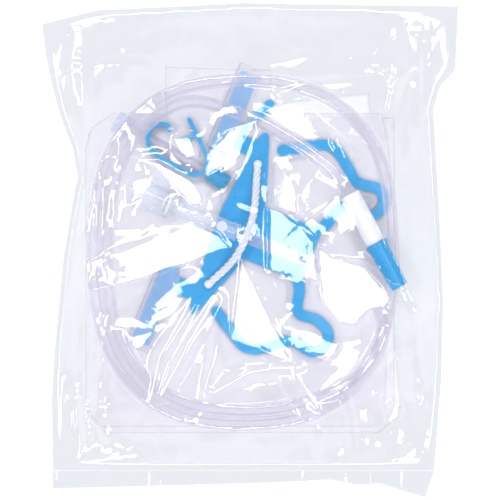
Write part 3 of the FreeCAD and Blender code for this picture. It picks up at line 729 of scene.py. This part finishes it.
def make_upper_film():
    bottom = [SEAL_LEFT, SEAL_RIGHT]
    right = [SEAL_RIGHT] + RIGHT_EDGE + TOP_EDGE[:1]
    left = [SEAL_LEFT] + LEFT_EDGE[::-1] + TOP_EDGE[-1:]
    grid = grid_between(bottom, right, TOP_EDGE[::-1], left, *UPPER_GRID)
    film = sheet_from("upper_film_sheet", grid, sampled(UPPER_HEIGHT, grid[..., 0], grid[..., 1]))
    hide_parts("pouch_upper_film")
    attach(film, "upper_film")
    return film


def make_lower_film():
    right = [FOOT_EDGE[-1], SEAL_RIGHT] + RIGHT_EDGE + TOP_EDGE[:1]
    left = [FOOT_EDGE[0], SEAL_LEFT] + LEFT_EDGE[::-1] + TOP_EDGE[-1:]
    grid = grid_between(FOOT_EDGE, right, TOP_EDGE[::-1], left, *LOWER_GRID)
    height = sampled(LOWER_HEIGHT, grid[..., 0], grid[..., 1])
    film = sheet_from("lower_film_sheet", grid, height)
    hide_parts("pouch_lower_film")
    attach(film, ROOT)
    return film


def make_bottom_seal():
    """The band below the seal line, where both films are welded in fine upright ribs."""
    line = SEAL_LINE_Y - 0.0005
    right = [FOOT_EDGE[-1], (SEAL_RIGHT[0], line)]
    left = [FOOT_EDGE[0], (SEAL_LEFT[0], line)]
    top = [(SEAL_LEFT[0], line), (SEAL_RIGHT[0], line)]
    grid = grid_between(FOOT_EDGE, right, top, left, *SEAL_GRID)
    ribs = facets(0.004, 21, 8.0, math.radians(90))
    height = 0.0007 + 0.0003 * sampled(ribs, grid[..., 0], grid[..., 1])
    band = sheet_from("bottom_seal_band", grid, height)
    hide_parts("pouch_bottom_seal")
    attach(band, ROOT)
    return band


upper_film = make_upper_film()
lower_film = make_lower_film()
seal_band = make_bottom_seal()

# ---------------- leaflet and bag

LEAFLET_SIZE = (0.148, 0.205)
LEAFLET_CENTRE = Vector((0.014, -0.008, 0.0))
LEAFLET_ANGLE = math.radians(6.0)
FRONT_EDGES = {
    "bottom": [(-0.107, -0.104), (-0.096, -0.115), (0.08, -0.115), (0.088, -0.107)],
    "right": [(0.088, -0.107), (0.092, 0.04), (0.09, 0.07), (0.086, 0.089)],
    "top": [(-0.089, 0.089), (0.086, 0.089)],
    "left": [(-0.107, -0.104), (-0.107, 0.066), (-0.103, 0.08), (-0.089, 0.089)],
}
BACK_EDGES = {
    "bottom": [(-0.105, -0.108), (-0.094, -0.119), (0.084, -0.119), (0.094, -0.11)],
    "right": [(0.094, -0.11), (0.094, 0.086)],
    "top": [(-0.094, 0.086), (0.094, 0.086)],
    "left": [(-0.105, -0.108), (-0.105, 0.076), (-0.094, 0.086)],
}
TAB_EDGES = {
    "bottom": [(-0.055, 0.078), (0.014, 0.078)],
    "right": [(0.014, 0.078), (0.014, 0.117)],
    "top": [(-0.055, 0.119), (0.014, 0.117)],
    "left": [(-0.055, 0.078), (-0.055, 0.119)],
}
SHEET_CLEARANCE = 0.0006
MOST_WAVE = 0.0035
BAG_THICKNESS = 0.00025
PAPER_THICKNESS = 0.0001
TONGUE_THICKNESS = 0.0002
TONGUE_PROFILE = [(-0.0435, 0.0024), (-0.0448, 0.0034), (-0.0446, 0.0048), (-0.043, 0.00545),
                  (-0.039, 0.0056), (-0.034, 0.0055), (-0.030, 0.0056), (-0.0275, 0.0053)]
TONGUE_GRID = (26, 60)


def headroom(base):
    """How far a sheet can rise above its level without touching what lies on it."""
    ceiling = spread(np.minimum(UNDERSIDES, MOST_HEADROOM), np.minimum, 5)
    return np.clip(blurred(ceiling, 6) - base - SHEET_CLEARANCE, 0, MOST_WAVE)


def sheet_grid(edges, columns, rows):
    return grid_between(edges["bottom"], edges["right"], edges["top"], edges["left"], columns, rows)


def thickened(piece, thickness):
    """Give a sheet its real thickness."""
    modifier = piece.modifiers.new("thickness", "SOLIDIFY")
    modifier.thickness = thickness
    modifier.offset = 1.0
    return piece


def weld_ridge(depth):
    """The raised bead along the inner edge of a sheet's welded rim."""
    return 0.0002 * np.exp(-((depth - 0.006) / 0.0012) ** 2)


def bag_panel(name, edges, base, seed, columns=120, rows=130):
    """One of the bag's sheets, which waves where nothing presses it and is beaded along its rim."""
    grid = sheet_grid(edges, columns, rows)
    outline = edges["bottom"] + edges["right"][1:] + edges["top"][::-1][1:] + edges["left"][::-1][1:-1]
    depth = np.where(inside(outline), distance_to(outline + outline[:1]), 0.0)
    waves = blurred(facets(0.03, seed, 1.5, 0.9), 40) + 0.3 * blurred(facets(0.012, seed + 1), 8)
    room = headroom(base)
    height = base + room * np.clip(0.45 + 0.8 * waves, 0, 1) * smoothstep(depth, 0.0, 0.02)
    height = height + np.minimum(weld_ridge(depth), room + 0.0002)
    piece = sheet_from(name, grid, sampled(height, grid[..., 0], grid[..., 1]))
    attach(piece, ROOT)
    return thickened(piece, BAG_THICKNESS)


def make_bag():
    back = bag_panel("bag_back_sheet", BACK_EDGES, 0.0007, 31)
    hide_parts("bag_back_panel")
    tab = bag_panel("bag_back_tab", TAB_EDGES, 0.0012, 33, 50, 30)
    front = bag_panel("bag_front_sheet", FRONT_EDGES, 0.0013, 35)
    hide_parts("bag_front_panel")
    return [back, tab, front]


def make_leaflet():
    """A sheet of paper with two folds that don't lie quite flat."""
    columns, rows = 75, 103
    s, t = np.meshgrid(np.linspace(-0.5, 0.5, columns), np.linspace(-0.5, 0.5, rows))
    across = s * LEAFLET_SIZE[0]
    along = t * LEAFLET_SIZE[1]
    x = LEAFLET_CENTRE.x + across * math.cos(LEAFLET_ANGLE) - along * math.sin(LEAFLET_ANGLE)
    y = LEAFLET_CENTRE.y + across * math.sin(LEAFLET_ANGLE) + along * math.cos(LEAFLET_ANGLE)
    fold = np.exp(-(across / 0.004) ** 2) + np.exp(-((np.abs(along) - 0.034) / 0.004) ** 2)
    height = 0.00036 + 0.0001 * np.clip(fold, 0, 1)
    piece = sheet_from("leaflet_paper", np.dstack([x, y]), height)
    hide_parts("leaflet")
    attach(piece, ROOT)
    return thickened(piece, PAPER_THICKNESS)


def make_tongue(name, node, near, far):
    """A tongue of the bag's weld that comes up round the bag bar and lies on it."""
    columns, rows = TONGUE_GRID
    profile = resampled(TONGUE_PROFILE, columns)
    places = []
    draw = np.random.default_rng(41)
    waves = np.cumsum(draw.normal(0, 0.00004, rows))
    for step in range(rows):
        w = near + (far - near) * step / (rows - 1)
        for index, (u, height) in enumerate(profile):
            share = index / (columns - 1)
            lift = 0.0003 * share * math.sin(w * 160 + share * 3)
            places.append(hanger_point(u + waves[step] * share, w, height + lift + 0.00003))
    piece = make_object(name, places, grid_faces(columns, rows))
    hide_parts(node)
    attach(piece, ROOT)
    return thickened(piece, TONGUE_THICKNESS)


bag_sheets = make_bag()
leaflet = make_leaflet()
bag_tongues = [make_tongue("bag_tongue_upper", "bag_flap_upper", 0.041, 0.099),
               make_tongue("bag_tongue_lower", "bag_flap_lower", -0.099, -0.03)]

# ---------------- materials


class Shader:
    """A material under construction: each call adds one node and feeds its inputs."""

    def __init__(self, name):
        self.material = bpy.data.materials.new(name)
        self.material.use_nodes = True
        self.tree = self.material.node_tree
        self.tree.nodes.clear()

    def add(self, kind, settings=None, **inputs):
        node = self.tree.nodes.new("ShaderNode" + kind)
        for key, value in (settings or {}).items():
            setattr(node, key, value)
        for key, value in inputs.items():
            self.feed(node.inputs[key.replace("_", " ")], value)
        return node

    def feed(self, socket, value):
        if isinstance(value, bpy.types.NodeSocket):
            self.tree.links.new(value, socket)
        else:
            socket.default_value = value

    def math(self, operation, first, second=0.0):
        node = self.add("Math", {"operation": operation})
        self.feed(node.inputs[0], first)
        self.feed(node.inputs[1], second)
        return node.outputs[0]

    def mix(self, share, first, second):
        node = self.add("MixShader")
        self.feed(node.inputs[0], share)
        self.feed(node.inputs[1], first)
        self.feed(node.inputs[2], second)
        return node.outputs[0]

    def place(self):
        return self.add("TexCoord").outputs["Object"]

    def noise(self, scale, detail=3.0, roughness=0.5):
        node = self.add("TexNoise", Vector=self.place(), Scale=scale, Detail=detail, Roughness=roughness)
        return node.outputs["Fac"]

    def ramp(self, value, low, high, low_out, high_out):
        node = self.add("MapRange", Value=value, From_Min=low, From_Max=high)
        self.feed(node.inputs["To Min"], low_out)
        self.feed(node.inputs["To Max"], high_out)
        return node.outputs["Result"]

    def tint(self, value, first, second):
        node = self.add("ValToRGB")
        node.color_ramp.elements[0].color = (*first, 1)
        node.color_ramp.elements[1].color = (*second, 1)
        self.feed(node.inputs[0], value)
        return node.outputs["Color"]

    def bump(self, height, strength, distance):
        node = self.add("Bump", Height=height, Strength=strength, Distance=distance)
        return node.outputs["Normal"]

    def finish(self, surface):
        output = self.add("OutputMaterial")
        self.feed(output.inputs["Surface"], surface)
        return self.material

    def finish_clear(self, surface, shade):
        """The surface as seen, and a plain pale filter for shadow rays."""
        shadow = self.add("LightPath").outputs["Is Shadow Ray"]
        plain = self.add("BsdfTransparent", Color=(*shade, 1)).outputs[0]
        return self.finish(self.mix(shadow, surface, plain))


MOST_GLOSS = 0.25
WHITE = (1, 1, 1, 1)
BLUE_DARK = (0.002, 0.335, 0.71)
BLUE_LIGHT = (0.004, 0.39, 0.8)
TEAL_DARK = (0.002, 0.29, 0.56)
TEAL_LIGHT = (0.004, 0.36, 0.66)
# The print bars, in metres in the leaflet's own directions.
BAR_WIDTH = 0.0013
BAR_ROW = 0.0055
BARS_ACROSS = (-0.006, 0.018)
BARS_ALONG = (-0.101, -0.09)


def clear_surface(shader, tint, roughness, ior, normal, haze, haze_color):
    """A thin clear wall: tinted light through it, a reflection on it and a little milkiness."""
    through = shader.add("BsdfTransparent", Color=tint).outputs[0]
    milk = shader.add("BsdfDiffuse", Color=(*haze_color, 1), Normal=normal).outputs[0]
    body = shader.mix(haze, through, milk)
    gloss = shader.add("BsdfGlossy", Color=WHITE, Roughness=roughness, Normal=normal).outputs[0]
    fresnel = shader.add("Fresnel", IOR=ior, Normal=normal).outputs[0]
    return shader.mix(shader.math("MINIMUM", fresnel, MOST_GLOSS), body, gloss)


def film_material():
    """Clear film with fine wrinkles and faint cloudy patches, a little grey-blue."""
    shader = Shader("clear_film")
    wrinkle = shader.math("ADD", shader.noise(260.0, 3.0), shader.noise(60.0, 2.0))
    normal = shader.bump(wrinkle, 0.12, 0.0006)
    tint = shader.tint(shader.noise(35.0), (0.862, 0.874, 0.897), (0.88, 0.888, 0.908))
    haze = shader.ramp(shader.noise(90.0), 0.3, 0.7, 0.012, 0.03)
    roughness = shader.ramp(shader.noise(400.0), 0.3, 0.7, 0.04, 0.07)
    surface = clear_surface(shader, tint, roughness, 1.65, normal, haze, (0.9, 0.91, 0.94))
    return shader.finish_clear(surface, (1, 1, 1))


def tube_material():
    """Soft clear tubing, denser towards its edges where more of the wall is in line."""
    shader = Shader("clear_tube")
    normal = shader.bump(shader.noise(300.0, 2.0), 0.15, 0.0003)
    facing = shader.add("LayerWeight", Blend=0.35).outputs["Facing"]
    haze = shader.ramp(facing, 0.1, 0.9, 0.08, 0.4)
    roughness = shader.ramp(shader.noise(150.0), 0.3, 0.7, 0.1, 0.2)
    tint = shader.tint(shader.noise(60.0), (0.93, 0.922, 0.94), (0.95, 0.942, 0.957))
    surface = clear_surface(shader, tint, roughness, 1.3, normal, haze, (0.8, 0.785, 0.84))
    return shader.finish_clear(surface, (0.98, 0.98, 0.99))


def bag_material(name="frosted_sheet", milk_low=0.3, milk_high=0.42):
    """Frosted soft sheet: partly milky, with a faint grain."""
    shader = Shader(name)
    normal = shader.bump(shader.noise(900.0, 2.0), 0.25, 0.0002)
    cloud = shader.noise(25.0)
    tint = shader.tint(cloud, (0.93, 0.92, 0.937), (0.95, 0.945, 0.957))
    haze = shader.ramp(cloud, 0.3, 0.7, milk_low, milk_high)
    surface = clear_surface(shader, tint, 0.35, 1.35, normal, haze, (0.745, 0.735, 0.755))
    return shader.finish_clear(surface, (0.97, 0.97, 0.985))


def clear_plastic_material(name="clear_plastic", haze=0.16, tint=(0.96, 0.962, 0.97)):
    """Hard clear plastic, milkier where it is seen edge on."""
    shader = Shader(name + "_look")
    normal = shader.bump(shader.noise(500.0, 2.0), 0.1, 0.0002)
    facing = shader.add("LayerWeight", Blend=0.4).outputs["Facing"]
    milk = shader.ramp(facing, 0.2, 1.0, haze, haze + 0.4)
    color = shader.tint(shader.noise(120.0), tint, tuple(min(1.0, part + 0.03) for part in tint))
    surface = clear_surface(shader, color, 0.08, 1.35, normal, milk, (0.86, 0.87, 0.91))
    return shader.finish_clear(surface, (0.95, 0.96, 0.98))


def moulded_material(name, dark, light, roughness=0.3, grain=0.12):
    """Solid moulded plastic with a satin grain and slightly uneven colour."""
    shader = Shader(name + "_look")
    color = shader.tint(shader.noise(45.0, 4.0), dark, light)
    rough = shader.ramp(shader.noise(220.0, 4.0), 0.3, 0.7, roughness - 0.06, roughness + 0.1)
    normal = shader.bump(shader.noise(1400.0, 2.0), grain, 0.0002)
    surface = shader.add("BsdfPrincipled", Base_Color=color, Roughness=rough, Normal=normal)
    surface.inputs["Coat Weight"].default_value = 0.15
    return shader.finish(surface.outputs[0])


def rope_material():
    """Bright white fibre."""
    shader = Shader("rope_fibre")
    fibre = shader.add("TexNoise", Vector=shader.place(), Scale=2600.0, Detail=2.0).outputs["Fac"]
    color = shader.tint(fibre, (0.76, 0.77, 0.8), (0.9, 0.9, 0.92))
    normal = shader.bump(fibre, 0.4, 0.0002)
    surface = shader.add("BsdfPrincipled", Base_Color=color, Roughness=0.55, Normal=normal)
    surface.inputs["Sheen Weight"].default_value = 0.3
    return shader.finish(surface.outputs[0])


def print_bars(shader):
    """1 on the dark bars of one small block of rows near the paper's lower edge, and 0 elsewhere."""
    turn = shader.add("VectorRotate", {"rotation_type": "Z_AXIS"}, Vector=shader.place())
    turn.inputs["Angle"].default_value = -LEAFLET_ANGLE
    split = shader.add("SeparateXYZ", Vector=turn.outputs[0])
    brick = shader.add("TexBrick", {"offset": 0.37}, Vector=turn.outputs[0], Scale=1.0)
    settings = {"Color1": WHITE, "Color2": (0, 0, 0, 1), "Mortar": WHITE, "Mortar Size": 0.0004,
                "Brick Width": BAR_WIDTH, "Row Height": BAR_ROW}
    for name, value in settings.items():
        brick.inputs[name].default_value = value
    block = shader.math("GREATER_THAN", 0.8, brick.outputs["Color"])
    for axis, (low, high) in (("X", BARS_ACROSS), ("Y", BARS_ALONG)):
        block = shader.math("MULTIPLY", block, shader.math("GREATER_THAN", split.outputs[axis], low))
        block = shader.math("MULTIPLY", block, shader.math("LESS_THAN", split.outputs[axis], high))
    return block


def paper_material():
    """White paper with small grey bars in place of print."""
    shader = Shader("printed_paper")
    fibre = shader.noise(1500.0, 4.0)
    white = shader.tint(fibre, (0.86, 0.86, 0.88), (0.92, 0.92, 0.93))
    ink = shader.add("MixRGB", Fac=shader.math("MULTIPLY", print_bars(shader), 0.95), Color1=white)
    ink.inputs["Color2"].default_value = (0.05, 0.05, 0.07, 1)
    normal = shader.bump(fibre, 0.15, 0.0001)
    surface = shader.add("BsdfPrincipled", Base_Color=ink.outputs[0], Roughness=0.8, Normal=normal)
    return shader.finish(surface.outputs[0])


MATERIALS = {
    "film": film_material(),
    "tube": tube_material(),
    "bag_sheet": bag_material(),
    "bag_tongue": bag_material("clear_tongue", 0.12, 0.2),
    "paper": paper_material(),
    "rope": rope_material(),
    "rope_end": moulded_material("rope_end", (0.86, 0.87, 0.88), (0.93, 0.93, 0.94), 0.35),
    "clear_plastic": clear_plastic_material(),
    "port_plastic": clear_plastic_material("port_plastic", 0.15, (0.86, 0.88, 0.93)),
    "blue_plastic": moulded_material("blue_plastic", BLUE_DARK, BLUE_LIGHT, 0.32),
    "teal_plastic": moulded_material("teal_plastic", TEAL_DARK, TEAL_LIGHT, 0.32),
    "white_plastic": moulded_material("white_plastic", (0.9, 0.91, 0.93), (0.95, 0.955, 0.965), 0.25),
    "pin_plastic": moulded_material("pin_plastic", (0.72, 0.76, 0.82), (0.8, 0.83, 0.88), 0.3),
    "valve_rubber": moulded_material("valve_rubber", (0.7, 0.74, 0.8), (0.78, 0.82, 0.87), 0.5),
}


def paint(piece, material):
    piece.data.materials.clear()
    piece.data.materials.append(material)


EDGE_RADIUS = 0.0003


def dress_node(piece):
    """A CAD piece gets its material, rounded edges and smooth shading."""
    slot_name = piece.data.materials[0].name.split(".")[0]
    piece.material_slots[0].material = MATERIALS[slot_name]
    piece.data.polygons.foreach_set("use_smooth", [True] * len(piece.data.polygons))
    weld = piece.modifiers.new("weld", "WELD")
    weld.merge_threshold = 1e-6
    bevel = piece.modifiers.new("edges", "BEVEL")
    bevel.width = EDGE_RADIUS
    bevel.segments = 2
    bevel.limit_method = "ANGLE"
    bevel.angle_limit = math.radians(38)
    normals = piece.modifiers.new("normals", "WEIGHTED_NORMAL")
    normals.keep_sharp = False


for film in (upper_film, lower_film, seal_band):
    paint(film, MATERIALS["film"])
for tube in (long_tube, *outlet_pieces):
    paint(tube, MATERIALS["tube"])
for sheet in bag_sheets:
    paint(sheet, MATERIALS["bag_sheet"])
for tongue in bag_tongues:
    paint(tongue, MATERIALS["bag_tongue"])
paint(leaflet, MATERIALS["paper"])
paint(twisted_cord, MATERIALS["rope"])
for node in NODES.values():
    if not node.hide_render:
        dress_node(node)

# ---------------- floor, light and view

FLOOR_SIZE = 6.0
FLOOR_DROP = 0.0004
LIGHT_HEIGHT = 2.4
SOFTBOX_POWER = 14.5
SOFTBOX_SIZE = (0.4, 1.0)
SOFTBOX_REACH = 1.0
FLOOR_GLOW = 0.5
WALL_LIGHT = 1.0
CEILING_LIGHT = 0.2
CEILING_FADE = (0.5, 0.8)


def make_floor():
    half = FLOOR_SIZE / 2
    corners = [(x, y, -FLOOR_DROP) for x, y in ((-half, -half), (half, -half), (half, half), (-half, half))]
    floor = make_object("floor", corners, [(0, 1, 2, 3)], smooth=False)
    shader = Shader("pale_floor")
    grey = shader.tint(shader.noise(6.0), (0.5, 0.5, 0.51), (0.53, 0.53, 0.54))
    matt = shader.add("BsdfDiffuse", Color=grey).outputs[0]
    glow = shader.add("Emission", Color=WHITE, Strength=FLOOR_GLOW).outputs[0]
    both = shader.add("AddShader")
    shader.feed(both.inputs[0], matt)
    shader.feed(both.inputs[1], glow)
    paint(floor, shader.finish(both.outputs[0]))


def make_light(side):
    """One of four softboxes, a quarter turn apart round the pouch and facing it."""
    data = bpy.data.lights.new("softbox_%d" % side, "AREA")
    data.shape = "RECTANGLE"
    data.size, data.size_y = SOFTBOX_SIZE
    data.energy = SOFTBOX_POWER
    light = bpy.data.objects.new("softbox_%d" % side, data)
    light.location = turned(side * math.pi / 2, SOFTBOX_REACH, 0, LIGHT_HEIGHT)
    light.rotation_euler = (0, math.atan2(SOFTBOX_REACH, LIGHT_HEIGHT), side * math.pi / 2)
    bpy.context.scene.collection.objects.link(light)


def make_world():
    """A studio with pale walls all round and a darker ceiling."""
    world = bpy.data.worlds.new("studio")
    world.use_nodes = True
    nodes = world.node_tree.nodes
    links = world.node_tree.links
    background = nodes["Background"]
    background.inputs["Color"].default_value = (0.98, 0.985, 1.0, 1)
    place = nodes.new("ShaderNodeTexCoord")
    split = nodes.new("ShaderNodeSeparateXYZ")
    links.new(place.outputs["Generated"], split.inputs[0])
    level = nodes.new("ShaderNodeMapRange")
    level.interpolation_type = "SMOOTHSTEP"
    links.new(split.outputs["Z"], level.inputs["Value"])
    level.inputs["From Min"].default_value, level.inputs["From Max"].default_value = CEILING_FADE
    level.inputs["To Min"].default_value = WALL_LIGHT
    level.inputs["To Max"].default_value = CEILING_LIGHT
    links.new(level.outputs["Result"], background.inputs["Strength"])
    bpy.context.scene.world = world


def set_view():
    scene = bpy.context.scene
    scene.view_settings.view_transform = "Standard"
    scene.view_settings.look = "None"
    scene.cycles.transparent_max_bounces = 40
    scene.cycles.max_bounces = 8
    scene.cycles.use_denoising = True


make_floor()
for side in range(4):
    make_light(side)
make_world()
set_view()
